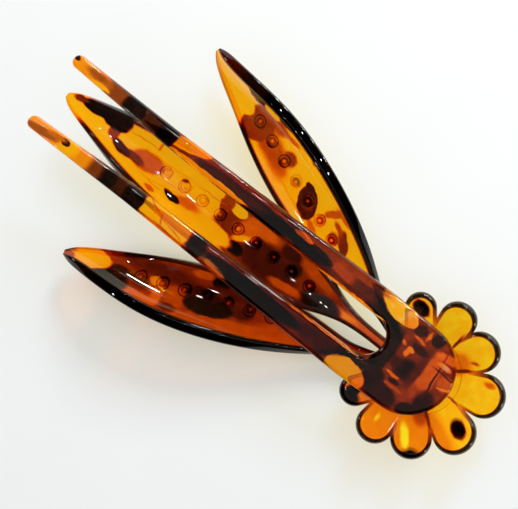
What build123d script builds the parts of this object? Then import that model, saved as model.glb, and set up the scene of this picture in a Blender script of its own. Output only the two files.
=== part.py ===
from build123d import *
import math
import os

# A two-pronged hair fork with a flower and three leaves on its front, lying on that front.
# The model is drawn with the flower's axis at x = 0, the prongs along +X and the back of
# the pin up, and is moved to the middle of its footprint as it is written.

# Whole pin
flower_radius = 18.7
fork_reach = 101.5
seat_clearance = 0.1

# Flower: a round plate with petals that rise from it
disc_radius = 9.6
disc_thickness = 2.8
disc_edge_round = 0.6
petal_root_radius = 8.3
petal_root_half_width = 3.6
petal_half_width = 4.9
petal_thickness = 2.8
petal_edge_round = 1.25
petal_rise_angle = 23.0

# Petals on one side, from the prongs round to the back: turn is the angle from the
# prongs, wide and reach are shares of the half width and of the flower's radius, and
# rise is a share of the rise angle. The first petal stays low to pass under the fork.
petal_rows = [
    {"turn": 53.0, "wide": 0.72, "reach": 0.965, "rise": 0.60},
    {"turn": 87.0, "wide": 0.86, "reach": 1.000, "rise": 1.00},
    {"turn": 121.0, "wide": 0.93, "reach": 0.990, "rise": 1.00},
    {"turn": 159.5, "wide": 1.00, "reach": 1.035, "rise": 1.00},
]

# Button in the middle of the flower's front
button_height = 1.8
button_radius = 7.8
button_flat_radius = 4.5

# Fork
fork_thickness = 3.0
fork_edge_round = 1.0
fork_height = 6.4
fork_tilt = 4.5
head_radius = 10.4
head_offset = 3.0
crotch_offset = 10.3
slot_root_half = 4.6
slot_waist_half = 5.5
slot_tip_half = 6.8
prong_root_half = 10.8
prong_waist_half = 9.7
prong_tip_half = 9.8
prong_root_offset = 14.0
prong_waist_offset = 74.0
prong_tip_round = 1.45
boss_radius = 7.5

# Leaves: strips bent to one curl radius across, with round edges
leaf_curl_radius = 11.0
side_leaf_root = 5.3
side_leaf_reach = 79.2
side_leaf_angle = 21.2
side_leaf_half_width = 7.8
side_leaf_thickness = 2.8
side_leaf_edge_rise = 7.2
side_leaf_tip_lift = 4.2
middle_leaf_reach = 99.8
middle_leaf_half_width = 8.5
middle_leaf_thickness = 2.8
middle_leaf_tip_lift = 6.0

# Stones
stone_radius = 1.0
stone_table_share = 0.55
stone_crown = 0.35
stone_depth = 0.75
stone_sides = 8
stone_spacing = 5.1
seat_lip = 0.25
side_stone_start = 30.1
side_stone_count = 7
middle_stone_start = 30.9
middle_stone_count = 9

# Sections of a side leaf, from its stalk to its tip. Along is a share of the reach,
# outer and inner of the half width, thick of the thickness, lift (the height of the
# inner edge's underside) of the tip's lift, and rise (how far the outer edge stands
# above the inner one) of the edge's rise.
side_leaf_rows = [
    {"along": 0.020, "outer": 0.390, "inner": -0.030, "thick": 0.90, "lift": 0.45, "rise": 0.00},
    {"along": 0.130, "outer": 0.390, "inner": -0.020, "thick": 0.90, "lift": 0.45, "rise": 0.02},
    {"along": 0.205, "outer": 0.550, "inner": 0.200, "thick": 0.94, "lift": 0.36, "rise": 0.08},
    {"along": 0.305, "outer": 0.800, "inner": 0.510, "thick": 1.00, "lift": 0.20, "rise": 0.25},
    {"along": 0.435, "outer": 1.010, "inner": 0.760, "thick": 1.00, "lift": 0.11, "rise": 0.62},
    {"along": 0.585, "outer": 1.070, "inner": 0.850, "thick": 1.00, "lift": 0.09, "rise": 0.94},
    {"along": 0.740, "outer": 0.900, "inner": 0.700, "thick": 1.00, "lift": 0.21, "rise": 1.00},
    {"along": 0.865, "outer": 0.560, "inner": 0.460, "thick": 0.98, "lift": 0.50, "rise": 0.76},
    {"along": 0.950, "outer": 0.290, "inner": 0.290, "thick": 0.84, "lift": 0.80, "rise": 0.34},
    {"along": 0.986, "outer": 0.150, "inner": 0.160, "thick": 0.52, "lift": 0.98, "rise": 0.12},
    {"along": 1.000, "outer": 0.070, "inner": 0.080, "thick": 0.22, "lift": 1.10, "rise": 0.04},
]

# Sections of the middle leaf, with its stem first, in the same shares
middle_leaf_rows = [
    {"along": 0.060, "outer": 0.180, "inner": 0.180, "thick": 0.88, "lift": 0.33, "rise": 0.0},
    {"along": 0.160, "outer": 0.180, "inner": 0.180, "thick": 0.88, "lift": 0.33, "rise": 0.0},
    {"along": 0.210, "outer": 0.260, "inner": 0.260, "thick": 0.92, "lift": 0.33, "rise": 0.0},
    {"along": 0.270, "outer": 0.490, "inner": 0.490, "thick": 0.98, "lift": 0.40, "rise": 0.0},
    {"along": 0.360, "outer": 0.800, "inner": 0.800, "thick": 1.00, "lift": 0.52, "rise": 0.0},
    {"along": 0.480, "outer": 0.980, "inner": 0.980, "thick": 1.00, "lift": 0.57, "rise": 0.0},
    {"along": 0.620, "outer": 1.000, "inner": 1.000, "thick": 1.00, "lift": 0.62, "rise": 0.0},
    {"along": 0.740, "outer": 0.910, "inner": 0.910, "thick": 1.00, "lift": 0.70, "rise": 0.0},
    {"along": 0.840, "outer": 0.690, "inner": 0.690, "thick": 1.00, "lift": 0.82, "rise": 0.0},
    {"along": 0.920, "outer": 0.450, "inner": 0.450, "thick": 0.95, "lift": 0.90, "rise": 0.0},
    {"along": 0.970, "outer": 0.280, "inner": 0.280, "thick": 0.76, "lift": 0.96, "rise": 0.0},
    {"along": 0.992, "outer": 0.150, "inner": 0.150, "thick": 0.46, "lift": 1.04, "rise": 0.0},
    {"along": 1.000, "outer": 0.070, "inner": 0.070, "thick": 0.20, "lift": 1.12, "rise": 0.0},
]


def petal_outline(length, half_width):
    """A paddle from the root's straight edge to a round end."""
    end = Pos(length - half_width, 0) * Circle(half_width)
    root = Line((0, -petal_root_half_width), (0, petal_root_half_width))
    return make_hull(end.edges() + root.edges())


def petal(row):
    """One petal along +X, hinged up at the bottom of its root."""
    angle = row["rise"] * petal_rise_angle
    rise = math.radians(angle)
    round_half = petal_thickness / 2
    reach = row["reach"] * flower_radius
    run = reach - petal_root_radius - round_half + round_half * math.sin(rise)
    length = run / math.cos(rise) + round_half
    slab = extrude(petal_outline(length, row["wide"] * petal_half_width), petal_thickness)
    root_edges = slab.edges().filter_by(lambda e: e.center().X < 0.01)
    rim = slab.edges().filter_by(Axis.Z, reverse=True) - root_edges
    slab = fillet(rim, petal_edge_round)
    return Pos(petal_root_radius, 0, button_height) * Rot(0, -angle, 0) * slab


def flower():
    """The round plate and its petals as one solid."""
    middle = Pos(0, 0, button_height + disc_thickness / 2) * Cylinder(disc_radius, disc_thickness)
    plate = fillet(middle.edges(), disc_edge_round)
    for row in petal_rows:
        for side in (-1, 1):
            plate += Rot(0, 0, side * row["turn"]) * petal(row)
    return plate


def flower_button():
    """A low dome with a flat face, which the pin lies on."""
    top = button_height - seat_clearance
    half = Polyline((0, 0), (button_flat_radius, 0))
    bulge = (button_flat_radius + 0.75 * (button_radius - button_flat_radius), 0.35 * top)
    side = ThreePointArc((button_flat_radius, 0), bulge, (button_radius, top))
    lid = Polyline((button_radius, top), (0, top), (0, 0))
    profile = make_face(half.edges() + side.edges() + lid.edges())
    return revolve(Plane.XZ * profile, Axis.Z)


def fork_outline():
    """Head and prongs in the plane of the plate, with the slot taken out."""
    upper = [
        (head_offset, head_radius),
        (prong_root_offset, prong_root_half),
        (prong_waist_offset, prong_waist_half),
        (fork_reach, prong_tip_half),
    ]
    lower = [(x, -y) for x, y in reversed(upper)]
    body = make_face(Polyline(*upper, *lower, upper[0]).edges())
    slot_start = crotch_offset + slot_root_half
    slot_upper = [
        (slot_start, slot_root_half),
        (prong_waist_offset, slot_waist_half),
        (fork_reach, slot_tip_half),
        (fork_reach + slot_tip_half, slot_tip_half),
    ]
    slot_lower = [(x, -y) for x, y in reversed(slot_upper)]
    slot = make_face(Polyline(*slot_upper, *slot_lower, slot_upper[0]).edges())
    slot += Pos(slot_start, 0) * Circle(slot_root_half)
    outline = body + Pos(head_offset, 0) * Circle(head_radius)
    return outline - slot


def fork():
    """The flat plate, raised towards its tips, with a boss under its head."""
    plate = extrude(fork_outline(), fork_thickness)
    upright = plate.edges().filter_by(Axis.Z)
    tip_corners = upright.filter_by(lambda e: e.center().X > fork_reach - 0.1)
    plate = fillet(tip_corners, prong_tip_round)
    flat_edges = plate.edges().filter_by(Axis.Z, reverse=True)
    plate = fillet(flat_edges, fork_edge_round)
    plate = Pos(0, 0, fork_height) * Rot(0, -fork_tilt, 0) * plate
    boss_low = button_height + disc_thickness + seat_clearance
    boss_high = fork_height + fork_thickness / 3
    boss = Cylinder(boss_radius, boss_high - boss_low)
    return plate + Pos(0, 0, (boss_low + boss_high) / 2) * boss


def leaf_section(row, reach, half_width, thickness, tip_lift, edge_rise):
    """A strip bent to the curl radius, with round edges, across the leaf at one row."""
    half = row["thick"] * thickness / 2
    outer_y = row["outer"] * half_width - half
    inner_y = -row["inner"] * half_width + half
    inner_z = row["lift"] * tip_lift + half
    outer_z = inner_z + row["rise"] * edge_rise
    tilt = math.atan2(outer_z - inner_z, max(outer_y - inner_y, half / 5))
    arm = math.hypot(max(outer_y - inner_y, half / 5), outer_z - inner_z) / 2
    lean = math.asin(arm / leaf_curl_radius)
    sag = leaf_curl_radius * (1 - math.cos(lean))
    x = row["along"] * reach

    def place(across, above):
        """From the chord between the two edges to the leaf's own axes."""
        y = (outer_y + inner_y) / 2 + across * math.cos(tilt) - above * math.sin(tilt)
        z = (outer_z + inner_z) / 2 + across * math.sin(tilt) + above * math.cos(tilt)
        return (x, y, z)

    inward = half * math.sin(lean)
    upward = half * math.cos(lean)
    top_inner = place(-arm + inward, upward)
    top_outer = place(arm - inward, upward)
    low_inner = place(-arm - inward, -upward)
    low_outer = place(arm + inward, -upward)
    end_inner = place(-arm - upward, inward)
    end_outer = place(arm + upward, inward)
    edges = [
        Edge.make_three_point_arc(top_inner, place(0, half - sag), top_outer),
        Edge.make_three_point_arc(top_outer, end_outer, low_outer),
        Edge.make_three_point_arc(low_outer, place(0, -half - sag), low_inner),
        Edge.make_three_point_arc(low_inner, end_inner, top_inner),
    ]
    return Wire(edges)


def leaf_blank(rows, *sizes):
    """A leaf along +X, through its sections."""
    return Solid.make_loft([leaf_section(row, *sizes) for row in rows])


def round_the_plate(leaf):
    """The leaf with its stalk cut back to fit round the flower's plate."""
    return leaf - Cylinder(disc_radius + seat_clearance, 4 * disc_thickness)


def stone():
    """A round-cut stone, table up, with its girdle in the plane z = 0."""
    girdle = RegularPolygon(stone_radius, stone_sides)
    crown_angle = math.degrees(math.atan(stone_radius * (1 - stone_table_share) / stone_crown))
    point_angle = math.degrees(math.atan(0.9 * stone_radius / stone_depth))
    crown = extrude(girdle, stone_crown, taper=crown_angle)
    point = extrude(girdle, -stone_depth, taper=point_angle)
    return crown + point


def stone_seat():
    """The pocket for a stone, opening up through the face above it."""
    mouth = stone_radius + seat_clearance
    lip = Pos(0, 0, stone_crown) * Cylinder(mouth, 2 * stone_crown)
    point_depth = stone_depth + seat_clearance
    point = Pos(0, 0, -point_depth / 2) * Cone(0.15 * mouth, mouth, point_depth)
    return lip + point


def stone_places(blank, start, count):
    """Planes on the leaf's front, under its middle line, with Z out of the face."""
    planes = []
    for number in range(count):
        probe = Axis((start + number * stone_spacing, 0, -1), (0, 0, 1))
        point, normal = blank.find_intersection_points(probe)[0]
        out = normal if normal.Z < 0 else normal * -1
        planes.append(Plane(point - out * seat_lip, x_dir=(1, 0, 0), z_dir=out))
    return planes


def set_stones(blank, start, count):
    """The leaf with its row of seats, and the stones that lie in them."""
    places = stone_places(blank, start, count)
    for place in places:
        blank -= place * stone_seat()
    return blank, [place * stone() for place in places]


def middle_leaf():
    """The leaf between the prongs, with its stem, and its stones."""
    blank = leaf_blank(middle_leaf_rows, middle_leaf_reach, middle_leaf_half_width,
                       middle_leaf_thickness, middle_leaf_tip_lift, 0)
    leaf, stones = set_stones(blank, middle_stone_start, middle_stone_count)
    return round_the_plate(leaf), stones


def left_leaf():
    """The side leaf on the left, with its outer edge rolled up, and its stones."""
    blank = leaf_blank(side_leaf_rows, side_leaf_reach, side_leaf_half_width,
                       side_leaf_thickness, side_leaf_tip_lift, side_leaf_edge_rise)
    leaf, stones = set_stones(blank, side_stone_start, side_stone_count)
    turn = Pos(side_leaf_root, 0, 0) * Rot(0, 0, side_leaf_angle)
    return round_the_plate(turn * leaf), [turn * gem for gem in stones]


def named_pieces():
    """Every node's name and its solid, on the flower's axis."""
    pieces = {"flower": flower(), "flower_button": flower_button(), "fork": fork()}
    pieces["middle_leaf"], stones = middle_leaf()
    for number, gem in enumerate(stones, 1):
        pieces[f"middle_stone_{number}"] = gem
    pieces["left_leaf"], stones = left_leaf()
    pieces["right_leaf"] = mirror(pieces["left_leaf"], Plane.XZ)
    for number, gem in enumerate(stones, 1):
        pieces[f"left_stone_{number}"] = gem
        pieces[f"right_stone_{number}"] = mirror(gem, Plane.XZ)
    return pieces


pieces = named_pieces()
boxes = [piece.bounding_box() for piece in pieces.values()]
middle_x = (min(b.min.X for b in boxes) + max(b.max.X for b in boxes)) / 2
floor_z = min(b.min.Z for b in boxes)
os.makedirs("parts", exist_ok=True)
for name, piece in pieces.items():
    export_step(Pos(-middle_x, 0, -floor_z) * piece, f"parts/{name}.step")
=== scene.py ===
import bpy
import math
import numpy as np
from mathutils import Matrix, Vector


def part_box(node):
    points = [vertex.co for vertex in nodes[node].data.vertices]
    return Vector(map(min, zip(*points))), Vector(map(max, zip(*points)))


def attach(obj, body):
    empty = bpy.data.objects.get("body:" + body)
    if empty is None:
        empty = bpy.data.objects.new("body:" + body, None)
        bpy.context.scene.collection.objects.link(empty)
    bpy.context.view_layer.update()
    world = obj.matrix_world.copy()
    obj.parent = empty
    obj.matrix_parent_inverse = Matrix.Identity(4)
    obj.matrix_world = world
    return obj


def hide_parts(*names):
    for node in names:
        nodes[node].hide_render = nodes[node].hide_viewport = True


# A tortoiseshell hair fork that lies on its flower. Patterns are drawn in millimetres from
# the flower's axis, with x along the prongs and y towards the left leaf.

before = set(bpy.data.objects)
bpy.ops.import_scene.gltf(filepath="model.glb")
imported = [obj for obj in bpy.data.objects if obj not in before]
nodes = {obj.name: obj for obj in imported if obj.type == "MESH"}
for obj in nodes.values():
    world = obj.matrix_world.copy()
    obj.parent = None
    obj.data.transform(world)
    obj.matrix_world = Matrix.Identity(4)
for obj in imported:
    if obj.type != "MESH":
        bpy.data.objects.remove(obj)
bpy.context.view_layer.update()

MM = 0.001

# The flower's axis in the row frame, in millimetres
BUTTON_RADIUS = 7.8
FLOWER_AXIS_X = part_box("flower_button")[0].x / MM + BUTTON_RADIUS

# Camera, in millimetres and degrees: the leans are its direction from the pin, off straight
# above, and the prongs' angle turns the picture
CAMERA_LEAN_X = -6.0
CAMERA_LEAN_Y = -6.5
CAMERA_AIM = (43.538, 0.963, 9.042)
CAMERA_DISTANCE = 350.0
CAMERA_VIEW_WIDTH = 113.4
PRONG_RISE = math.radians(6.0)
PRONG_ANGLE_IN_VIEW = math.radians(142.1)
SENSOR_WIDTH = 36.0
CLIP_NEAR = 10.0
CLIP_FAR = 20000.0


def pin_point(x, y, z=0.0):
    """A place in millimetres from the flower's axis, in the row frame."""
    return Vector(((x + FLOWER_AXIS_X) * MM, y * MM, z * MM))


def camera_axes():
    """The camera's right, up and back directions."""
    lean = (math.sin(math.radians(CAMERA_LEAN_X)), math.sin(math.radians(CAMERA_LEAN_Y)), 1.0)
    back = Vector(lean).normalized()
    level_up = (Vector((0, 1, 0)) - back * back.y).normalized()
    level_right = level_up.cross(back)
    prong = Vector((math.cos(PRONG_RISE), 0, math.sin(PRONG_RISE)))
    turn = PRONG_ANGLE_IN_VIEW - math.atan2(prong.dot(level_up), prong.dot(level_right))
    right = level_right * math.cos(turn) - level_up * math.sin(turn)
    up = level_right * math.sin(turn) + level_up * math.cos(turn)
    return right, up, back


def aimed(right, up, back, place):
    """A matrix that looks along -back from the place."""
    turned = Matrix((right, up, back)).transposed().to_4x4()
    turned.translation = place
    return turned


def add_camera():
    right, up, back = camera_axes()
    aim = pin_point(*CAMERA_AIM)
    data = bpy.data.cameras.new("camera")
    data.sensor_width = SENSOR_WIDTH
    data.lens = SENSOR_WIDTH * CAMERA_DISTANCE / CAMERA_VIEW_WIDTH
    data.clip_start = CLIP_NEAR * MM
    data.clip_end = CLIP_FAR * MM
    camera = bpy.data.objects.new("camera", data)
    bpy.context.scene.collection.objects.link(camera)
    camera.matrix_world = aimed(right, up, back, aim + back * CAMERA_DISTANCE * MM)
    bpy.context.scene.camera = camera


def add_light(name, across, above, outward, width, height, power, glints=False):
    """A softbox placed in metres along the picture's right and up and towards the camera.

    One for glints shows only in polished surfaces, and the others only light things up.
    """
    right, up, back = camera_axes()
    data = bpy.data.lights.new(name, "AREA")
    data.shape = "RECTANGLE"
    data.size = width
    data.size_y = height
    data.energy = power
    aim = pin_point(*CAMERA_AIM)
    place = aim + right * across + up * above + back * outward
    light = bpy.data.objects.new(name, data)
    bpy.context.scene.collection.objects.link(light)
    light.visible_glossy = glints
    light.visible_transmission = glints
    light.visible_diffuse = not glints
    towards = (aim - place).normalized()
    turned = towards.to_track_quat("-Z", "Y").to_matrix().to_4x4()
    light.matrix_world = Matrix.Translation(place) @ turned


class Shader:
    """A material's nodes, added one at a time."""

    def __init__(self, name):
        self.material = bpy.data.materials.new(name)
        self.material.use_nodes = True
        self.tree = self.material.node_tree
        self.tree.nodes.clear()
        self.output = self.tree.nodes.new("ShaderNodeOutputMaterial")

    def add(self, kind, inputs=None, **settings):
        node = self.tree.nodes.new(kind)
        for key, value in settings.items():
            setattr(node, key, value)
        for key, value in (inputs or {}).items():
            if isinstance(value, bpy.types.NodeSocket):
                self.tree.links.new(value, node.inputs[key])
            else:
                node.inputs[key].default_value = value
        return node

    def let_light_through(self, surface, passing):
        """The surface, with a plainer shader in its place for light on its way to the table."""
        path = self.add("ShaderNodeLightPath")
        lit = self.add("ShaderNodeMixShader", {
            0: path.outputs["Is Shadow Ray"],
            1: surface,
            2: passing,
        })
        return self.add("ShaderNodeMixShader", {
            0: path.outputs["Is Diffuse Ray"],
            1: lit.outputs[0],
            2: passing,
        })

    def math(self, operation, *values):
        node = self.add("ShaderNodeMath", dict(enumerate(values)), operation=operation)
        return node.outputs[0]

    def vector_math(self, operation, *values):
        node = self.add("ShaderNodeVectorMath", dict(enumerate(values)), operation=operation)
        return node.outputs[0]


# Leaves, in millimetres: strips bent to one curl radius across, through a few sections. Shares
# of half the thickness give the corners' radius and the least width between a section's ends.
LEAF_CURL_RADIUS = 11.0
LEAF_CORNER_SHARE = 0.55
LEAF_LEAST_WIDTH_SHARE = 0.2
SIDE_LEAF = {
    "reach": 79.2, "half_width": 7.8, "thickness": 2.8, "tip_lift": 4.2, "edge_rise": 7.2,
    "root_x": 5.3, "angle": 21.2, "stone_start": 30.1, "stones": 7,
}
MIDDLE_LEAF = {
    "reach": 99.8, "half_width": 8.5, "thickness": 2.8, "tip_lift": 6.0, "edge_rise": 0.0,
    "root_x": 0.0, "angle": 0.0, "stone_start": 30.9, "stones": 9,
}
STONE_SPACING = 5.1

# The stones' seats: cones with a radius at the mouth and a share of it at the bottom, sunk by
# the lip, and cut by a cutter that reaches out past the leaf
SEAT_MOUTH = 1.1
SEAT_BOTTOM_SHARE = 0.15
SEAT_LIP = 0.25
SEAT_DEPTH = 0.85
SEAT_CUTTER_REACH = 1.0
SEAT_STEPS = 24

# The round cut of the leaves' stalks, clear of the flower's plate
ROOT_CUT_RADIUS = 9.7
ROOT_CUT_BOTTOM = -2.0
ROOT_CUT_TOP = 20.0
ROOT_CUT_STEPS = 96

# Edges of the leaves that bend more than this stay sharp
SHARP_ANGLE = math.radians(35)

# Sections of a side leaf: along is a share of the reach, outer and inner of the half width,
# thick of the thickness, lift of the tip's lift and rise of the edge's rise
SIDE_ROWS = [
    {"along": 0.020, "outer": 0.390, "inner": -0.030, "thick": 0.90, "lift": 0.45, "rise": 0.00},
    {"along": 0.130, "outer": 0.390, "inner": -0.020, "thick": 0.90, "lift": 0.45, "rise": 0.02},
    {"along": 0.205, "outer": 0.550, "inner": 0.200, "thick": 0.94, "lift": 0.36, "rise": 0.08},
    {"along": 0.305, "outer": 0.800, "inner": 0.510, "thick": 1.00, "lift": 0.20, "rise": 0.25},
    {"along": 0.435, "outer": 1.010, "inner": 0.760, "thick": 1.00, "lift": 0.11, "rise": 0.62},
    {"along": 0.585, "outer": 1.070, "inner": 0.850, "thick": 1.00, "lift": 0.09, "rise": 0.94},
    {"along": 0.740, "outer": 0.900, "inner": 0.700, "thick": 1.00, "lift": 0.21, "rise": 1.00},
    {"along": 0.865, "outer": 0.560, "inner": 0.460, "thick": 0.98, "lift": 0.50, "rise": 0.76},
    {"along": 0.950, "outer": 0.290, "inner": 0.290, "thick": 0.84, "lift": 0.80, "rise": 0.34},
    {"along": 0.986, "outer": 0.150, "inner": 0.160, "thick": 0.52, "lift": 0.98, "rise": 0.12},
    {"along": 1.000, "outer": 0.070, "inner": 0.080, "thick": 0.22, "lift": 1.10, "rise": 0.04},
]
MIDDLE_ROWS = [
    {"along": 0.060, "outer": 0.180, "inner": 0.180, "thick": 0.88, "lift": 0.33, "rise": 0.0},
    {"along": 0.160, "outer": 0.180, "inner": 0.180, "thick": 0.88, "lift": 0.33, "rise": 0.0},
    {"along": 0.210, "outer": 0.260, "inner": 0.260, "thick": 0.92, "lift": 0.33, "rise": 0.0},
    {"along": 0.270, "outer": 0.490, "inner": 0.490, "thick": 0.98, "lift": 0.40, "rise": 0.0},
    {"along": 0.360, "outer": 0.800, "inner": 0.800, "thick": 1.00, "lift": 0.52, "rise": 0.0},
    {"along": 0.480, "outer": 0.980, "inner": 0.980, "thick": 1.00, "lift": 0.57, "rise": 0.0},
    {"along": 0.620, "outer": 1.000, "inner": 1.000, "thick": 1.00, "lift": 0.62, "rise": 0.0},
    {"along": 0.740, "outer": 0.910, "inner": 0.910, "thick": 1.00, "lift": 0.70, "rise": 0.0},
    {"along": 0.840, "outer": 0.690, "inner": 0.690, "thick": 1.00, "lift": 0.82, "rise": 0.0},
    {"along": 0.920, "outer": 0.450, "inner": 0.450, "thick": 0.95, "lift": 0.90, "rise": 0.0},
    {"along": 0.970, "outer": 0.280, "inner": 0.280, "thick": 0.76, "lift": 0.96, "rise": 0.0},
    {"along": 0.992, "outer": 0.150, "inner": 0.150, "thick": 0.46, "lift": 1.04, "rise": 0.0},
    {"along": 1.000, "outer": 0.070, "inner": 0.070, "thick": 0.20, "lift": 1.12, "rise": 0.0},
]

# Painted shade along the leaves' edges, for the dark look of the thick plate seen edge-on, as a
# tone at shares of the reach
PAINTED_EDGE_SHADES = {
    "left_leaf": {
        "outer": [(0.0, 1.0), (1.0, 1.0)],
        "inner": [(0.0, 0.7), (0.6, 0.8), (0.83, 0.9), (0.85, 0.0), (0.96, 0.0), (0.98, 0.9)],
    },
    "right_leaf": {
        "outer": [(0.0, 1.0), (0.88, 1.0), (0.95, 0.8), (1.0, 0.8)],
        "inner": [(0.0, 0.9), (0.78, 0.9), (0.81, 0.0), (1.0, 0.0)],
    },
    "middle_leaf": {
        "outer": [
            (0.0, 0.6), (0.3, 0.9), (0.45, 0.3), (0.68, 0.3),
            (0.71, 0.95), (0.92, 0.95), (0.96, 0.0),
        ],
        "inner": [
            (0.0, 0.6), (0.3, 0.9), (0.45, 0.1), (0.73, 0.1),
            (0.77, 0.8), (0.92, 0.9), (0.97, 0.0),
        ],
    },
}

# Steps of the leaves' meshes across a face, round a corner, along the leaf and along its tip
SECTION_STEPS = 26
CORNER_STEPS = 5
LENGTH_STEPS = 110
TIP_STEPS = 24
TIP_SHARE = 0.05

# Parts of a leaf's section
TOP, OUTER_END, INNER_END, UNDERSIDE = range(4)


def natural_spline(places, values, wanted):
    """A natural cubic spline through the values at the places, read at the wanted ones."""
    gaps = np.diff(places)
    slopes = np.diff(values) / gaps
    system = np.eye(len(places))
    right = np.zeros(len(places))
    for i in range(1, len(places) - 1):
        system[i, i - 1:i + 2] = gaps[i - 1], 2 * (gaps[i - 1] + gaps[i]), gaps[i]
        right[i] = 6 * (slopes[i] - slopes[i - 1])
    bends = np.linalg.solve(system, right)
    k = np.clip(np.searchsorted(places, wanted) - 1, 0, len(gaps) - 1)
    before = wanted - places[k]
    after = places[k + 1] - wanted
    curved = (bends[k] * after ** 3 + bends[k + 1] * before ** 3) / (6 * gaps[k])
    straight = (values[k] * after + values[k + 1] * before) / gaps[k]
    return curved + straight - gaps[k] / 6 * (bends[k] * after + bends[k + 1] * before)


def section_points(row, sizes):
    """A leaf's section: across and up in millimetres, and which part of it each point is on."""
    half = row["thick"] * sizes["thickness"] / 2
    outer_y = row["outer"] * sizes["half_width"] - half
    inner_y = -row["inner"] * sizes["half_width"] + half
    inner_z = row["lift"] * sizes["tip_lift"] + half
    outer_z = inner_z + row["rise"] * sizes["edge_rise"]
    width = max(outer_y - inner_y, LEAF_LEAST_WIDTH_SHARE * half)
    tilt = math.atan2(outer_z - inner_z, width)
    arm = math.hypot(width, outer_z - inner_z) / 2
    lean = math.asin(arm / LEAF_CURL_RADIUS)
    corner = LEAF_CORNER_SHARE * half
    points = []

    def put(across, above, part):
        y = (outer_y + inner_y) / 2 + across * math.cos(tilt) - above * math.sin(tilt)
        z = (outer_z + inner_z) / 2 + across * math.sin(tilt) + above * math.cos(tilt)
        points.append((y, z, part))

    def face(side):
        radius = LEAF_CURL_RADIUS - side * half
        for step in range(SECTION_STEPS + 1):
            angle = side * lean * (2 * step / SECTION_STEPS - 1)
            above = LEAF_CURL_RADIUS * math.cos(lean) - radius * math.cos(angle)
            put(radius * math.sin(angle), above, TOP if side > 0 else UNDERSIDE)

    def end(side):
        part = OUTER_END if side > 0 else INNER_END
        for first in (1, -1):
            for step in range(CORNER_STEPS + 1):
                turn = math.pi / 2 * step / CORNER_STEPS
                if first < 0:
                    turn = math.pi / 2 - turn
                out = half - corner + corner * math.sin(turn)
                up = first * side * (half - corner + corner * math.cos(turn))
                across = side * (arm + out * math.cos(lean)) - up * side * math.sin(lean)
                put(across, out * math.sin(lean) + up * math.cos(lean), part)

    face(1)
    end(1)
    face(-1)
    end(-1)
    return points


def skin_faces(rings, loop):
    """Faces between rings of points, and one across each open end."""
    faces = []
    for first in range(0, (rings - 1) * loop, loop):
        for i in range(loop):
            j = (i + 1) % loop
            faces.append((first + i, first + j, first + loop + j, first + loop + i))
    faces.append(tuple(reversed(range(loop))))
    faces.append(tuple(range((rings - 1) * loop, rings * loop)))
    return faces


def leaf_mesh(name, rows, sizes, side):
    """The leaf's skin with the painted shade of its edges, before its seats are cut."""
    given = np.array([row["along"] for row in rows])
    before_tip = np.linspace(given[0], 1 - TIP_SHARE, LENGTH_STEPS, endpoint=False)
    near_tip = 1 - TIP_SHARE * np.cos(np.linspace(0, math.pi / 2, TIP_STEPS))
    shares = np.concatenate([before_tip, near_tip])
    columns = {}
    for key in rows[0]:
        columns[key] = natural_spline(given, np.array([row[key] for row in rows]), shares)
    turn = math.radians(sizes["angle"])
    verts, painted_rim_shades, unders = [], [], []
    for number, share in enumerate(shares):
        row = {key: column[number] for key, column in columns.items()}
        # Painted shade on the ends of each section, from the edges' table
        tones = {TOP: 0.0, UNDERSIDE: 0.0}
        for part, end in ((OUTER_END, "outer"), (INNER_END, "inner")):
            places, values = zip(*PAINTED_EDGE_SHADES[name][end])
            tones[part] = float(np.interp(share, places, values))
        for y, z, part in section_points(row, sizes):
            x = share * sizes["reach"]
            pin_x = sizes["root_x"] + x * math.cos(turn) - y * math.sin(turn)
            pin_y = x * math.sin(turn) + y * math.cos(turn)
            verts.append(pin_point(pin_x, side * pin_y, z))
            painted_rim_shades.append(tones[part])
            unders.append(1.0 if part == UNDERSIDE else 0.0)
    loop = len(verts) // len(shares)
    faces = skin_faces(len(shares), loop)
    if side < 0:
        faces = [tuple(reversed(face)) for face in faces]
    mesh = bpy.data.meshes.new(name + "_skin")
    mesh.from_pydata(verts, [], faces)
    for kind, values in (("painted_rim_shade", painted_rim_shades), ("under", unders)):
        mesh.attributes.new(kind, "FLOAT", "POINT").data.foreach_set("value", values)
    return mesh


# Tones of the plastic, from clear through amber at 0 to black at 1, as what passes through a
# whole plate
CLEAR_TONE = -0.08
TONE_COLOURS = [
    (CLEAR_TONE, (1.000, 0.930, 0.700)),
    (0.00, (1.000, 0.560, 0.010)),
    (0.20, (1.000, 0.400, 0.008)),
    (0.38, (0.800, 0.155, 0.006)),
    (0.55, (0.440, 0.050, 0.006)),
    (0.75, (0.120, 0.012, 0.008)),
    (1.00, (0.012, 0.007, 0.008)),
]
FORK_COLOURS = [
    (CLEAR_TONE, (1.000, 0.930, 0.700)),
    (0.00, (1.000, 0.560, 0.010)),
    (0.20, (1.000, 0.400, 0.010)),
    (0.38, (0.720, 0.215, 0.020)),
    (0.55, (0.360, 0.086, 0.020)),
    (0.75, (0.110, 0.024, 0.012)),
    (1.00, (0.016, 0.009, 0.010)),
]

# What the faces under the leaves and the fork let through; their upper faces hold the rest
CLEAR_FACE = (1.0, 0.84, 0.25)

# Shares of light that go through the slightly hazy faces and through the clear ones below
HAZY = 0.72
CLEAR = 0.97

# The polished surface, and the plastic's depth as a volume
PLASTIC_ROUGHNESS = 0.02
PLASTIC_IOR = 1.49
DEPTH_COLOUR = (1.0, 0.88, 0.40, 1)
DEPTH_DENSITY = 250.0

# The stones' glass, and the light that it lets through
STONE_COLOUR = (1.0, 0.90, 0.75, 1)
STONE_IOR = 1.7
STONE_CLARITY = 0.5
STONE_LIGHT = (1.0, 0.8, 0.55, 1)
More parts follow.
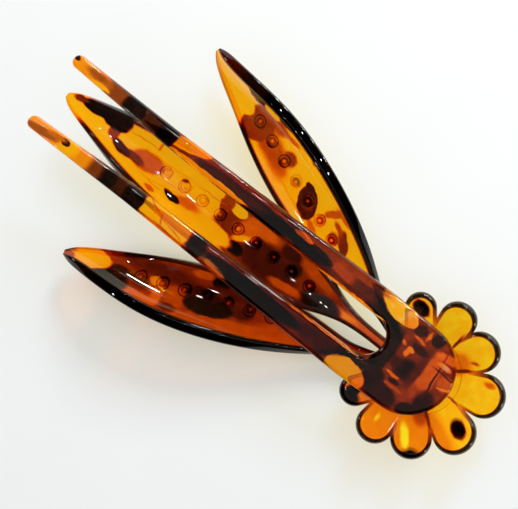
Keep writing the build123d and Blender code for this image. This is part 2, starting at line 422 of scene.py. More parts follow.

# Patches in the order they are painted: x, y, half length, half width, turn in degrees, tone and
# softness of the edge. Most are the plastic's own clouds; a few, marked below, are painted
# highlights and painted shade. Cycles renders a piece black that has more than 77 of them.
PATTERNS = {
    "middle_leaf": {
        "base": 0.02,
        "patches": [
            (33.5, 0, 24, 9, 0, 0.64, 0.06),
            (15, 0, 8, 1.4, 0, 0.40, 0.4),
            (22, 0.2, 4.5, 0.7, 0, 0.25, 0.4),
            (30.5, -3.0, 5.5, 1.6, -8, 0.48, 0.4),
            (26.4, 1.7, 4.8, 2.2, 10, 0.97, 0.25),
            (38.5, 4.4, 2.4, 0.9, 4, 0.38, 0.3),
            (35.8, -0.6, 1.9, 1.7, 0, 0.90, 0.3),
            (41.0, 2.0, 7.2, 3.6, 0, 0.80, 0.35),
            (35.2, 3.6, 4.4, 1.0, 8, 0.44, 0.3),
            (38.2, -3.2, 2.6, 1.6, 0, 0.88, 0.3),
            (46.5, -3.2, 5.0, 1.7, 0, 0.40, 0.35),
            (49.6, -0.5, 3.0, 2.2, 10, 0.36, 0.3),
            (49.5, 1.2, 2.2, 0.7, 30, 0.10, 0.4),
            (49.2, 3.7, 2.2, 1.3, 0, 1.00, 0.12),
            (59.5, 4.0, 9.4, 2.2, 0, 0.04, 0.12),
            (53.6, -3.5, 2.5, 1.4, -6, 0.00, 0.08),
            (56.6, -3.0, 1.8, 2.3, 0, 0.56, 0.2),
            (62.5, -0.2, 5.6, 2.0, 0, 0.02, 0.08),
            (64.0, -3.8, 6.0, 1.8, 0, 0.02, 0.08),
            (63.8, 2.7, 3.4, 1.2, 4, 0.36, 0.4),
            (67.6, 3.4, 2.2, 0.75, -8, 1.00, 0.15),
            (67.3, -1.1, 0.8, 0.6, 0, 0.46, 0.3),
            (72.6, 4.9, 1.4, 0.6, -10, 0.38, 0.3),
            (76.4, 0.6, 4.2, 2.3, 8, 0.42, 0.2),
            (80.0, 1.7, 3.4, 0.9, -4, 0.66, 0.3),
            (83.4, 1.5, 3.0, 1.0, -14, 0.85, 0.25),
            (86.2, -0.2, 1.3, 1.6, 0, 0.58, 0.3),
            (87.4, -3.2, 4.0, 2.7, 0, 1.00, 0.10),
            (92.0, -2.0, 4.2, 1.5, 10, 1.00, 0.10),
            (96.4, -1.4, 2.0, 0.7, 12, 0.66, 0.3),
            (73.2, 3.7, 3.2, 0.10, -8, 0.36, 0.9),
            (72.3, 3.2, 4.6, 0.10, 6, 0.24, 0.9),
            (79.5, -2.9, 4.6, 0.12, 6, 0.36, 0.8),
            (75.8, -4.0, 0.35, 1.2, 0, 0.38, 0.5),
            (60.5, -2.2, 3.6, 0.12, 2, 0.34, 0.8),
            (70, -1.9, 5.0, 0.12, 6, 0.24, 0.8),
            (68, 1.4, 5.0, 0.10, 10, 0.22, 0.8),
        ],
    },
    "left_leaf": {
        "base": 0.54,
        "patches": [
            (26, 3.2, 7, 2.4, 4, 0.42, 0.3),
            (34, 4.6, 15, 1.5, 2, 0.42, 0.2),
            (46.5, 5.2, 6, 1.2, 0, 0.44, 0.3),
            (51.8, 2.0, 2.6, 2.6, 30, 0.44, 0.4),
            (52.5, 4.4, 2.0, 0.8, 0, 0.70, 0.4),
            (36.5, 1.0, 2.8, 1.6, 0, 0.72, 0.3),
            (44.3, 1.9, 5.6, 2.0, 0, 0.98, 0.12),
            (46.0, -0.4, 4.6, 1.4, 0, 0.80, 0.3),
            (42.8, -3.7, 2.2, 1.6, 0, 1.00, 0.15),
            (47.4, -4.5, 2.4, 0.9, 0, 0.36, 0.3),
            (57, -2.6, 9.5, 1.8, -6, 0.68, 0.4),
            (40, -1.8, 6.0, 1.4, 0, 0.70, 0.4),
            (55.9, 2.6, 1.3, 2.3, 6, 0.34, 0.3),
            (60.4, 3.8, 5.2, 1.0, -6, 0.36, 0.3),
            (57.4, -0.2, 1.4, 0.9, 10, 0.18, 0.3),
            (60.4, 1.0, 2.4, 1.3, 0, 0.66, 0.4),
            (66.6, 2.0, 4.2, 1.8, -10, 1.00, 0.2),
            (65.0, 0.2, 3.2, 1.1, -6, 0.84, 0.3),
            (72.0, 1.4, 3.6, 0.8, -14, 0.95, 0.2),
            (73.2, -1.2, 5.4, 2.3, -8, 0.05, 0.10),
            (72.4, 1.7, 2.8, 0.7, -20, 1.00, 0.2),
            (77.6, -0.2, 1.4, 0.8, 0, 0.50, 0.4),
        ],
    },
    "right_leaf": {
        "base": -0.01,
        "patches": [
            (28.0, 1.8, 3.0, 1.2, 32, 0.66, 0.2),
            (31.4, 2.8, 2.0, 0.6, 10, 0.50, 0.4),
            (30.2, 0.6, 1.5, 1.3, 0, 0.44, 0.3),
            (32.3, 5.0, 3.0, 0.5, 0, 0.40, 0.4),
            (34.6, 3.6, 0.9, 2.4, 28, 0.46, 0.3),
            (35.2, 0.4, 1.3, 1.2, 0, 0.34, 0.3),
            (35.2, -2.4, 2.0, 0.7, 4, 0.38, 0.5),
            (40.0, -0.4, 3.9, 2.3, 36, 0.80, 0.07),
            (42.2, 1.9, 1.5, 0.9, 0, 0.86, 0.08),
            (39.8, -0.1, 2.0, 1.6, 36, 0.66, 0.4),
            (42.0, -2.9, 3.0, 0.14, 2, 0.22, 0.8),
            (46.0, -3.0, 1.8, 0.16, 2, 0.26, 0.8),
            (46.2, 5.7, 0.9, 0.5, 0, 0.44, 0.3),
            (50.0, 1.3, 1.9, 1.5, 10, 0.60, 0.3),
            (49.6, -2.5, 2.6, 1.7, 0, 0.30, 0.6),
            (54.6, -0.8, 6.0, 2.6, 4, 0.48, 0.4),
            (53.0, 4.2, 2.6, 0.6, -10, 0.42, 0.4),
            (56.8, 3.2, 2.4, 1.5, -10, 0.52, 0.4),
            (60.6, -0.6, 3.9, 4.2, 10, 0.58, 0.10),
            (58.4, 5.2, 5.4, 1.1, -12, 1.00, 0.12),
            (64.8, 3.4, 4.0, 1.4, -16, 1.00, 0.10),
            (60.2, 3.6, 2.4, 0.65, -10, 0.00, 0.12),
            (70.9, -1.1, 8.0, 3.0, -4, -0.02, 0.06),
        ],
    },
    "fork": {
        "base": 0.60,
        "patches": [
            (22.0, 7.2, 5.4, 2.6, 0, 0.72, 0.3),
            (0.0, 0.0, 8.6, 9.6, 0, 0.56, 0.2),
            (-1.6, -1.6, 2.0, 5.4, 4, 0.31, 0.35),
            (-1.2, 3.4, 1.6, 1.4, 0, 0.46, 0.4),
            (-5.6, -2.0, 1.8, 1.7, 0, 0.36, 0.3),
            (-4.8, 4.4, 2.2, 3.0, 30, 0.90, 0.4),
            (-3.4, -7.0, 3.4, 1.0, 16, 0.20, 0.35),
            (-3.1, -0.5, 0.2, 5.6, 6, 0.80, 0.7),
            (-4.2, -3.4, 2.6, 0.16, 0, 0.80, 0.7),
            # Painted highlight: a bright oval on the head
            (-3.4, -4.9, 1.7, 0.6, 2, -0.02, 0.3),
            (-6.2, -0.9, 1.6, 0.22, 20, 0.02, 0.5),
            (3.0, 0.6, 2.7, 2.2, 0, 0.97, 0.35),
            (5.8, 0.4, 1.6, 1.2, 0, 0.80, 0.5),
            (1.0, -1.0, 0.9, 5.4, 0, 0.70, 0.7),
            (0.2, 5.6, 1.6, 1.8, 10, 0.52, 0.5),
            (3.2, -4.6, 2.0, 0.9, 0, 0.84, 0.4),
            (4.8, -3.4, 0.9, 0.5, -24, 0.04, 0.3),
            (5.2, -2.6, 0.5, 0.9, 10, 0.10, 0.4),
            (7.2, -4.0, 1.0, 0.35, -14, 0.22, 0.3),
            (4.4, -6.3, 1.6, 0.35, -6, 0.26, 0.3),
            (3.0, 5.4, 2.4, 0.4, 0, 0.40, 0.5),
            (4.6, 3.1, 1.7, 0.35, 0, 0.22, 0.3),
            (3.4, 4.2, 1.2, 0.5, 0, 0.92, 0.4),
            (8.9, 0.4, 2.0, 6.0, 0, 0.98, 0.2),
            (-2.3, 7.6, 2.3, 1.7, 20, 0.98, 0.2),
            (4.4, 8.1, 4.0, 2.1, 0, 0.94, 0.25),
            (7.6, 6.4, 2.4, 2.6, 0, 0.97, 0.2),
            (1.2, -8.6, 1.5, 1.5, 0, 0.94, 0.2),
            (5.6, -8.1, 1.5, 1.4, 0, 0.88, 0.25),
            (3.4, -8.2, 0.4, 1.4, 0, 0.30, 0.4),
            (13.8, 5.9, 4.0, 1.5, 10, 0.98, 0.2),
            (13.0, 9.3, 5.0, 3.0, 0, 0.12, 0.06),
            (39.6, 7.9, 13.0, 2.2, 0, 0.99, 0.10),
            (39.0, 5.7, 13, 0.5, 0, 0.56, 0.4),
            # Painted highlight: a bright line along the slot's wall
            (22.0, 4.9, 10.0, 0.30, 0, 0.20, 0.3),
            (49.0, 9.0, 3.2, 0.7, -8, 0.40, 0.25),
            (55.0, 7.7, 2.2, 2.6, 0, 0.99, 0.14),
            (63.6, 7.4, 6.2, 8.0, 0, 0.03, 0.07),
            (63.0, 9.2, 3.0, 0.2, -4, 0.40, 0.6),
            (64.4, 7.9, 0.25, 1.6, 20, 0.36, 0.6),
            (61.0, 8.2, 4.4, 0.16, -12, 0.34, 0.8),
            (67.4, 6.0, 2.2, 0.14, -24, 0.40, 0.8),
            (72.4, 7.6, 2.7, 3.0, 0, 1.00, 0.10),
            (76.2, 7.8, 1.3, 3.0, 0, 0.84, 0.3),
            (79.4, 7.8, 2.3, 3.0, 0, 1.00, 0.14),
            (82.9, 7.8, 2.0, 3.0, 0, 0.62, 0.4),
            (86.4, 7.8, 2.4, 3.0, 0, 0.24, 0.4),
            (91.8, 7.8, 4.2, 3.0, 0, 0.02, 0.2),
            (97.4, 8.4, 4.6, 3.0, 0, 0.20, 0.2),
            (91.4, 7.3, 1.3, 0.8, 0, 0.97, 0.2),
            (97.0, 8.6, 4.4, 0.9, 3, 0.50, 0.3),
            (93.4, 7.4, 2.4, 0.7, 8, 0.40, 0.5),
            (16.4, -6.7, 4.8, 1.6, -10, 0.97, 0.25),
            (20.6, -7.4, 3.6, 1.6, 0, 0.72, 0.35),
            (11.2, -5.0, 2.6, 1.6, -34, 0.98, 0.2),
            (12.0, -9.3, 5.2, 2.6, -14, 0.00, 0.05),
            (26.6, -7.4, 3.0, 2.6, 20, 0.49, 0.3),
            (22.0, -9.6, 7.0, 0.8, 0, 0.54, 0.4),
            # Painted highlight: a bright line along the slot's wall
            (22.6, -5.0, 10.0, 0.36, 0, 0.00, 0.2),
            (36.5, -7.3, 7.3, 1.5, 0, 1.00, 0.08),
            (48.0, -7.1, 8.6, 1.8, 0, 1.00, 0.10),
            (38.0, -8.6, 2.6, 0.6, 0, 0.30, 0.2),
            (56.0, -7.4, 10.0, 1.4, 0, 0.86, 0.2),
            (62.0, -6.1, 10.5, 0.6, 0, 0.02, 0.15),
            (69.8, -8.6, 6.0, 1.3, 9, 0.03, 0.08),
            (74.8, -7.6, 2.5, 3.0, 0, 1.00, 0.10),
            (78.9, -7.8, 2.0, 3.0, 0, 0.78, 0.3),
            (83.8, -7.6, 2.9, 3.0, 0, 1.00, 0.10),
            (89.2, -7.8, 2.6, 3.0, 0, 0.56, 0.35),
            (96.5, -8.2, 5.4, 3.0, 0, 0.22, 0.3),
            (92.6, -7.0, 2.4, 0.5, 0, 0.02, 0.3),
            (94.0, -8.4, 3.0, 0.9, 0, 0.50, 0.5),
            (100.4, -8.9, 0.8, 0.5, 0, 0.98, 0.3),
        ],
    },
    "flower": {
        "base": -0.010,
        "patches": [
            # Painted shade: darker amber over the petals on the left leaf's side
            (-2.0, 14.0, 18.0, 10.0, 0, 0.29, 0.1),
            (0.0, 0.0, 8.3, 8.3, 0, 0.00, 0.1),
            (8.6, -11.6, 2.2, 1.5, -8, 1.00, 0.25),
            (-13.4, -7.8, 1.4, 0.7, 20, 0.44, 0.4),
            (-14.0, 4.0, 2.1, 1.5, -30, 0.99, 0.25),
            (-9.6, 15.0, 2.4, 1.2, 24, 0.99, 0.2),
            # Painted highlights: a bright yellow streak and a small bright dash on two petals
            (-5.8, 12.6, 3.0, 1.0, -44, -0.08, 0.25),
            (1.3, 13.0, 0.45, 1.0, 0, -0.06, 0.5),
            (-4.6, -6.4, 4.0, 2.8, 45, 0.34, 0.25),
            (-5.0, 6.4, 3.4, 1.8, -45, 0.52, 0.35),
            (-7.6, 6.8, 2.6, 0.35, -38, 0.80, 0.6),
            (-9.4, 0.1, 1.8, 0.30, 0, 0.72, 0.6),
            (-7.0, -6.6, 2.4, 0.40, 42, 0.72, 0.6),
            (-2.2, -10.6, 0.35, 2.2, 0, 0.72, 0.6),
            (-8.0, -9.6, 0.9, 0.4, 24, 0.50, 0.5),
            (8.9, 13.0, 2.2, 2.4, 0, 0.99, 0.2),
            (6.6, 11.6, 0.9, 1.2, -30, 0.34, 0.3),
            (11.6, 11.2, 1.0, 0.8, 0, 0.32, 0.3),
        ],
    },
    "flower_button": {
        "base": -0.05,
        "patches": [
            (2.5, 1.0, 3.0, 2.2, 20, 0.46, 0.4),
            (-3.0, 3.0, 2.4, 1.6, 0, 0.30, 0.5),
        ],
    },
}

# What clear and black let through on the flower, in place of the first and last tones
FLOWER_CLEAR = (1.0, 0.90, 0.03)
FLOWER_BLACK = (0.0014, 0.0006, 0.0006)

# What the hidden button lets through, on top of its tone
SMOKE = {"flower_button": (0.62, 0.66, 0.62)}

# The light that the pieces let through to the table: a pale colour, and its share in a mix
# with the plastic's own
SHADOW_PALENESS = {
    "fork": 0.94, "flower": 0.97, "flower_button": 0.94,
    "middle_leaf": 0.96, "left_leaf": 0.50, "right_leaf": 0.97,
}
SHADOW_COLOUR = (0.90, 0.93, 0.985)
FAINT_SHADOW_COLOUR = (0.96, 0.975, 1.0)
FAINT_SHADOWS = ("flower", "right_leaf")

# Painted shade and a painted highlight round each stone on its leaf: two darker rings for the
# seats' dark edges and a lighter centre for the stones' glint, each as radius, half width and tone
# that it adds. Each is at full strength on the innermost part of its width.
STONE_SEAT_SHADE_AND_GLINT = [(1.35, 0.22, 0.28), (0.72, 0.16, 0.14), (0.0, 0.45, -0.20)]
MARK_CORE = 1 / 3

# Waves of the patches' edges, and the mottle's length in millimetres and depth in tone
WAVE_LENGTH = 3.2
WAVE_REACH = 0.45
RIPPLE_LENGTH = 0.9
RIPPLE_REACH = 0.16
WAVE_DETAIL = 1.0
MOTTLE_LENGTH = 2.2
MOTTLE_DEPTH = 0.07
MOTTLE_DETAIL = 3.0

# Painted shade round the petals' edges, for the dark look of their rounded sides: where it starts
# and is black, as the cosine off the petal's face, and between which distances from the axis it
# fades in, in millimetres
PETAL_RISE = math.radians(23.0)
RIM_STARTS = 0.975
RIM_BLACK = 0.88
RIM_FADES_FROM = 8.1
RIM_FADES_TO = 15.1

# Underside of the fork's plate on the flower's axis, the plate's tilt, and the heights over the
# underside above which all is its upper face and below which all is its under face
FORK_HEIGHT = 6.4
FORK_TILT = math.radians(4.5)
ALL_UPPER_ABOVE = 1.9
ALL_UNDER_BELOW = 1.1

# Table, in metres, and the even light from all round
TABLE_SIZE = 6.0
TABLE_COLOURS = ((0.86, 0.87, 0.86, 1), (0.90, 0.905, 0.90, 1))
TABLE_GRAIN = 30.0
TABLE_ROUGHNESS = 0.35
TABLE_SHINE = 0.4
WORLD_COLOUR = (0.97, 0.99, 1.0, 1)
WORLD_STRENGTH = 0.755

# Lights, in metres and watts: across, above, outward, width, height and power
KEY_LIGHT = (0.24, 0.62, 0.40, 0.22, 0.22, 4.75)
WINDOW_LIGHT = (0.43, 0.55, 0.24, 0.60, 0.08, 0.7)
VEIL_LIGHT = (0.05, -0.10, 0.80, 0.50, 0.50, 0.22)
SINGLE_GLINTS = {
    "side_glint": (-0.46, -0.34, 0.20, 0.012, 0.012, 0.05),
    "stone_glint_0": (-0.50, 0.34, 0.14, 0.10, 0.07, 0.36),
    "stone_glint_1": (0.52, -0.34, 0.16, 0.10, 0.07, 0.36),
}

# Glints in rows along the prongs: the row's middle, each glint's width, height and power, and
# how far each is from the middle towards the tips
GLINT_ROWS = {
    "low_glint": (
        (0.43, 0.55, 0.30), (0.028, 0.028, 0.36), (-0.31, -0.19, -0.11, 0.02, 0.09, 0.20, 0.27),
    ),
    "high_glint": ((0.24, 0.31, 0.66), (0.010, 0.012, 0.05), (-0.30, -0.22, -0.05, 0.10, 0.31)),
    "near_glint": ((0.01, 0.02, 0.75), (0.010, 0.014, 0.05), (-0.07, 0.03, 0.06, 0.13, 0.22)),
}
PRONGS_ACROSS = -0.789
PRONGS_ABOVE = 0.614


def piece_place(shader, name):
    """The point on the piece in its own millimetres."""
    point = shader.add("ShaderNodeTexCoord").outputs["Object"]
    root_x, turn, side = 0.0, 0.0, 1
    if name in ("left_leaf", "right_leaf"):
        root_x = SIDE_LEAF["root_x"]
        turn = math.radians(SIDE_LEAF["angle"])
        side = 1 if name == "left_leaf" else -1
    return shader.add("ShaderNodeMapping", {
        "Vector": point,
        "Location": pin_point(root_x, 0),
        "Rotation": (0, 0, side * turn),
        "Scale": (MM, side * MM, MM),
    }, vector_type="TEXTURE").outputs[0]


def wavy(shader, place, length, reach):
    """The place, shifted by a noise of that wave length, up to about the reach."""
    noise = shader.add("ShaderNodeTexNoise", {
        "Vector": place,
        "Scale": 1 / length,
        "Detail": WAVE_DETAIL,
    })
    shift = shader.vector_math("SUBTRACT", noise.outputs["Color"], (0.5, 0.5, 0.5))
    scaled = shader.vector_math("MULTIPLY", shift, (2 * reach, 2 * reach, 0.0))
    return shader.vector_math("ADD", place, scaled)


def shell_tone(shader, name, place):
    """The plastic's tone on the piece, from 0 for clear amber to 1 for black."""
    pattern = PATTERNS[name]
    flat = shader.vector_math("MULTIPLY", place, (1, 1, 0))
    waves = wavy(shader, flat, WAVE_LENGTH, WAVE_REACH)
    edge = wavy(shader, waves, RIPPLE_LENGTH, RIPPLE_REACH)
    tone = pattern["base"]
    for x, y, half_long, half_wide, turn, patch_tone, soft in pattern["patches"]:
        oval = shader.add("ShaderNodeMapping", {
            "Vector": edge,
            "Location": (x, y, 0),
            "Rotation": (0, 0, math.radians(turn)),
            "Scale": (half_long, half_wide, 1),
        }, vector_type="TEXTURE")
        reach = shader.add("ShaderNodeVectorMath", {0: oval.outputs[0]}, operation="LENGTH")
        cover = shader.add("ShaderNodeMapRange", {
            "Value": reach.outputs["Value"],
            "From Min": 1 + soft,
            "From Max": 1 - soft,
        }, interpolation_type="SMOOTHSTEP")
        mixed = shader.add("ShaderNodeMix", {0: cover.outputs[0], 2: tone, 3: patch_tone})
        tone = mixed.outputs[0]
    mottle = shader.add("ShaderNodeTexNoise", {
        "Vector": flat,
        "Scale": 1 / MOTTLE_LENGTH,
        "Detail": MOTTLE_DETAIL,
    })
    centred = shader.math("SUBTRACT", mottle.outputs[0], 0.5)
    return shader.math("MULTIPLY_ADD", centred, 2 * MOTTLE_DEPTH, tone)


def painted_petal_edge_shade(shader, place):
    """Painted shade round the petals' edges, from clear on their faces to black round them."""
    flat = shader.vector_math("MULTIPLY", place, (1, 1, 0))
    radial = shader.vector_math("NORMALIZE", flat)
    reach = shader.add("ShaderNodeVectorMath", {0: flat}, operation="LENGTH")
    inward = shader.vector_math("MULTIPLY", radial, (-math.sin(PETAL_RISE),) * 3)
    face = shader.vector_math("ADD", inward, (0, 0, math.cos(PETAL_RISE)))
    normal = shader.add("ShaderNodeNewGeometry").outputs["Normal"]
    facing = shader.add("ShaderNodeVectorMath", {0: normal, 1: face}, operation="DOT_PRODUCT")
    level = shader.math("ABSOLUTE", facing.outputs["Value"])
    painted_rim_shade = shader.add("ShaderNodeMapRange", {
        "Value": level,
        "From Min": RIM_STARTS,
        "From Max": RIM_BLACK,
    }, interpolation_type="SMOOTHSTEP")
    on_petals = shader.add("ShaderNodeMapRange", {
        "Value": reach.outputs["Value"],
        "From Min": RIM_FADES_FROM,
        "From Max": RIM_FADES_TO,
    })
    both = shader.math("MULTIPLY", painted_rim_shade.outputs[0], on_petals.outputs[0])
    return shader.math("MULTIPLY_ADD", both, 1 - CLEAR_TONE, CLEAR_TONE)


def stone_seat_shade_and_glint(shader, place, leaf):
    """The tone that the painted shade of the stones' seats and the painted highlight at their
    centres add to the leaf's.
    """
    split = shader.add("ShaderNodeSeparateXYZ", {0: place})
    along = shader.math("SUBTRACT", split.outputs["X"], leaf["stone_start"])
    steps = shader.math("DIVIDE", along, STONE_SPACING)
    not_before_first = shader.math("MAXIMUM", shader.math("ROUND", steps), 0)
    nearest = shader.math("MINIMUM", not_before_first, leaf["stones"] - 1)
    off = shader.math("MULTIPLY", shader.math("SUBTRACT", steps, nearest), STONE_SPACING)
    joined = shader.add("ShaderNodeCombineXYZ", {"X": off, "Y": split.outputs["Y"]})
    reach = shader.add("ShaderNodeVectorMath", {0: joined.outputs[0]}, operation="LENGTH")
    total = 0.0
    for radius, half_width, added in STONE_SEAT_SHADE_AND_GLINT:
        away = shader.math("ABSOLUTE", shader.math("SUBTRACT", reach.outputs["Value"], radius))
        mark = shader.add("ShaderNodeMapRange", {
            "Value": away,
            "From Min": half_width,
            "From Max": half_width * MARK_CORE,
            "To Max": added,
        }, interpolation_type="SMOOTHSTEP")
        total = shader.math("ADD", total, mark.outputs[0])
    return total


def fork_underside(shader, place):
    """From 0 on the fork's upper face to 1 below the middle of its plate."""
    split = shader.add("ShaderNodeSeparateXYZ", {0: place})
    low = shader.math("MULTIPLY_ADD", split.outputs["X"], math.tan(FORK_TILT), FORK_HEIGHT)
    return shader.add("ShaderNodeMapRange", {
        "Value": shader.math("SUBTRACT", split.outputs["Z"], low),
        "From Min": ALL_UPPER_ABOVE,
        "From Max": ALL_UNDER_BELOW,
    }).outputs[0]


def shell_material(name):
    """Polished tortoiseshell plastic with the piece's own clouds, painted shade along edges and
    round stones, and a few painted highlights.
    """
    shader = Shader(name + "_shell")
    place = piece_place(shader, name)
    tone = shell_tone(shader, name, place)
    under = None
    if name == "flower":
        # Painted shade round the petals' edges
        tone = shader.math("MAXIMUM", tone, painted_petal_edge_shade(shader, place))
    if name == "fork":
        under = fork_underside(shader, place)
    if name in PAINTED_EDGE_SHADES:
        leaf = MIDDLE_LEAF if name == "middle_leaf" else SIDE_LEAF
        # Painted shade round the stones' seats and a painted highlight at their centres
        tone = shader.math("ADD", tone, stone_seat_shade_and_glint(shader, place, leaf))
        # Painted shade along the leaves' edges, carried on the mesh
        painted_rim_shade = shader.add("ShaderNodeAttribute", attribute_name="painted_rim_shade")
        tone = shader.math("MAXIMUM", tone, painted_rim_shade.outputs["Fac"])
        under = shader.add("ShaderNodeAttribute", attribute_name="under").outputs["Fac"]
    share = shader.add("ShaderNodeMapRange", {
        "Value": tone,
        "From Min": CLEAR_TONE,
        "From Max": 1.0,
    })
    ramp = shader.add("ShaderNodeValToRGB", {"Fac": share.outputs[0]})
    band = ramp.color_ramp
    colours = FORK_COLOURS if name == "fork" else TONE_COLOURS
    while len(band.elements) < len(colours):
        band.elements.new(0.5)
    for element, (level, colour) in zip(band.elements, colours):
        element.position = (level - CLEAR_TONE) / (1 - CLEAR_TONE)
        element.color = (*colour, 1)
    if name == "flower":
        band.elements[0].color = (*FLOWER_CLEAR, 1)
        band.elements[-1].color = (*FLOWER_BLACK, 1)
    colour = ramp.outputs["Color"]
    clarity = CLEAR if name == "flower_button" else HAZY
    if under is not None:
        clarity = shader.add("ShaderNodeMapRange", {
            "Value": under,
            "To Min": HAZY,
            "To Max": CLEAR,
        }).outputs[0]
        twice = shader.vector_math("MULTIPLY", colour, colour)
        upper = shader.vector_math("DIVIDE", twice, CLEAR_FACE)
        colour = shader.add("ShaderNodeMix", {
            0: under,
            6: upper,
            7: (*CLEAR_FACE, 1),
        }, data_type="RGBA").outputs[2]
    if name in SMOKE:
        colour = shader.vector_math("MULTIPLY", colour, SMOKE[name])
    surface = shader.add("ShaderNodeBsdfPrincipled", {
        "Base Color": colour,
        "Roughness": PLASTIC_ROUGHNESS,
        "IOR": PLASTIC_IOR,
        "Transmission Weight": clarity,
    })
    pale = FAINT_SHADOW_COLOUR if name in FAINT_SHADOWS else SHADOW_COLOUR
    shade = shader.add("ShaderNodeMix", {
        0: SHADOW_PALENESS[name],
        6: colour,
        7: (*pale, 1),
    }, data_type="RGBA")
    passing = shader.add("ShaderNodeBsdfTransparent", {"Color": shade.outputs[2]})
    mixed = shader.let_light_through(surface.outputs[0], passing.outputs[0])
    depth = shader.add("ShaderNodeVolumeAbsorption", {
        "Color": DEPTH_COLOUR,
        "Density": DEPTH_DENSITY,
    })
    shader.tree.links.new(mixed.outputs[0], shader.output.inputs["Surface"])
    shader.tree.links.new(depth.outputs[0], shader.output.inputs["Volume"])
    return shader.material


def stone_material():
    """Pale amber glass."""
    shader = Shader("stone_glass")
    surface = shader.add("ShaderNodeBsdfPrincipled", {
        "Base Color": STONE_COLOUR,
        "Roughness": 0.0,
        "IOR": STONE_IOR,
        "Transmission Weight": STONE_CLARITY,
    })
    passing = shader.add("ShaderNodeBsdfTransparent", {"Color": STONE_LIGHT})
    mixed = shader.let_light_through(surface.outputs[0], passing.outputs[0])
    shader.tree.links.new(mixed.outputs[0], shader.output.inputs["Surface"])
    return shader.material


def table_material():
    """A pale, faintly glossy table."""
    shader = Shader("table")
    place = shader.add("ShaderNodeTexCoord").outputs["Object"]
    grain = shader.add("ShaderNodeTexNoise", {"Vector": place, "Scale": TABLE_GRAIN, "Detail": 2.0})
    shade = shader.add("ShaderNodeMix", {
        0: grain.outputs[0],
        6: TABLE_COLOURS[0],
        7: TABLE_COLOURS[1],
    }, data_type="RGBA")
    surface = shader.add("ShaderNodeBsdfPrincipled", {
        "Base Color": shade.outputs[2],
        "Roughness": TABLE_ROUGHNESS,
        "Specular IOR Level": TABLE_SHINE,
    })
    shader.tree.links.new(surface.outputs[0], shader.output.inputs["Surface"])
    return shader.material


def add_table():
    bpy.ops.mesh.primitive_plane_add(size=TABLE_SIZE, location=(0, 0, 0))
    table = bpy.context.object
    table.name = "table"
    table.data.materials.append(table_material())


def add_world():
    """Even light from all round that reflections don't show, because the glint lights do that."""
    world = bpy.data.worlds.new("studio")
    bpy.context.scene.world = world
    world.use_nodes = True
    background = world.node_tree.nodes["Background"]
    background.inputs["Color"].default_value = WORLD_COLOUR
    background.inputs["Strength"].default_value = WORLD_STRENGTH
    world.cycles_visibility.glossy = False


def revolved(profile, steps):
    """Points and faces of a closed shape turned about Z, from its radii and heights."""
    verts = []
    for radius, height in profile:
        for step in range(steps):
            angle = 2 * math.pi * step / steps
            verts.append((radius * math.cos(angle), radius * math.sin(angle), height))
    return verts, skin_faces(len(profile), steps)


def cut_away(piece, verts, faces):
    """The piece without what the cutter's solids hold."""
    mesh = bpy.data.meshes.new("cutter")
    mesh.from_pydata(verts, [], faces)
    cutter = bpy.data.objects.new("cutter", mesh)
    bpy.context.scene.collection.objects.link(cutter)
    cut = piece.modifiers.new("cut", "BOOLEAN")
    cut.operation = "DIFFERENCE"
    cut.solver = "EXACT"
    cut.object = cutter
    bpy.context.view_layer.update()
    graph = bpy.context.evaluated_depsgraph_get()
    piece.data = bpy.data.meshes.new_from_object(piece.evaluated_get(graph))
    piece.modifiers.clear()
    bpy.data.objects.remove(cutter)


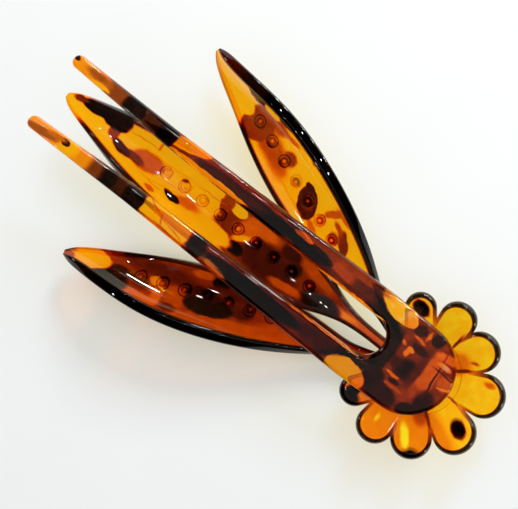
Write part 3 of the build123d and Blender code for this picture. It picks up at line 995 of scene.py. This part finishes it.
def build_leaf(name, rows, sizes, side):
    """A leaf with its stalk cut round the flower's plate and its seats cut in its front."""
    leaf = bpy.data.objects.new(name + "_plate", leaf_mesh(name, rows, sizes, side))
    bpy.context.scene.collection.objects.link(leaf)
    bpy.context.view_layer.update()
    centre = pin_point(0, 0)
    heights = (ROOT_CUT_BOTTOM * MM, ROOT_CUT_TOP * MM)
    verts, faces = revolved([(ROOT_CUT_RADIUS * MM, z) for z in heights], ROOT_CUT_STEPS)
    verts = [(x + centre.x, y, z) for x, y, z in verts]
    turn = math.radians(sizes["angle"])
    seat = [
        (SEAT_BOTTOM_SHARE * SEAT_MOUTH, -SEAT_DEPTH),
        (SEAT_MOUTH, 0.0),
        (SEAT_MOUTH, SEAT_CUTTER_REACH),
    ]
    for number in range(sizes["stones"]):
        x = sizes["stone_start"] + number * STONE_SPACING
        low = pin_point(sizes["root_x"] + x * math.cos(turn), side * x * math.sin(turn), -1)
        place, normal = leaf.ray_cast(low, Vector((0, 0, 1)))[1:3]
        turned = normal.to_track_quat("Z", "Y").to_matrix()
        seat_verts, seat_faces = revolved(seat, SEAT_STEPS)
        offset = len(verts)
        verts += [place + turned @ (Vector(v) * MM) - normal * SEAT_LIP * MM for v in seat_verts]
        faces += [tuple(i + offset for i in face) for face in seat_faces]
    cut_away(leaf, verts, faces)
    leaf.data.name = name + "_plate"
    for face in leaf.data.polygons:
        face.use_smooth = True
    leaf.data.set_sharp_from_angle(angle=SHARP_ANGLE)
    leaf.data.materials.clear()
    leaf.data.materials.append(shell_material(name))
    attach(leaf, "root")
    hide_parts(name)


def dress(name, material):
    """Give a CAD piece its one material."""
    slots = nodes[name].data.materials
    slots.clear()
    slots.append(material)


add_camera()
add_world()
add_light("key", *KEY_LIGHT)
add_light("window", *WINDOW_LIGHT, glints=True)
for row_name, ((across, above, outward), glint, places) in GLINT_ROWS.items():
    for number, along in enumerate(places):
        place_across = across + PRONGS_ACROSS * along
        place_above = above + PRONGS_ABOVE * along
        glint_name = "%s_%d" % (row_name, number)
        add_light(glint_name, place_across, place_above, outward, *glint, glints=True)
for glint_name, values in SINGLE_GLINTS.items():
    add_light(glint_name, *values, glints=True)
add_light("veil", *VEIL_LIGHT, glints=True)
add_table()

for piece_name in ("fork", "flower", "flower_button"):
    dress(piece_name, shell_material(piece_name))
build_leaf("middle_leaf", MIDDLE_ROWS, MIDDLE_LEAF, 1)
build_leaf("left_leaf", SIDE_ROWS, SIDE_LEAF, 1)
build_leaf("right_leaf", SIDE_ROWS, SIDE_LEAF, -1)
glass = stone_material()
for piece_name in nodes:
    if "stone" in piece_name:
        dress(piece_name, glass)

view = bpy.context.scene.view_settings
view.view_transform = "Standard"
bpy.context.scene.cycles.caustics_refractive = False
bpy.context.scene.cycles.caustics_reflective = False
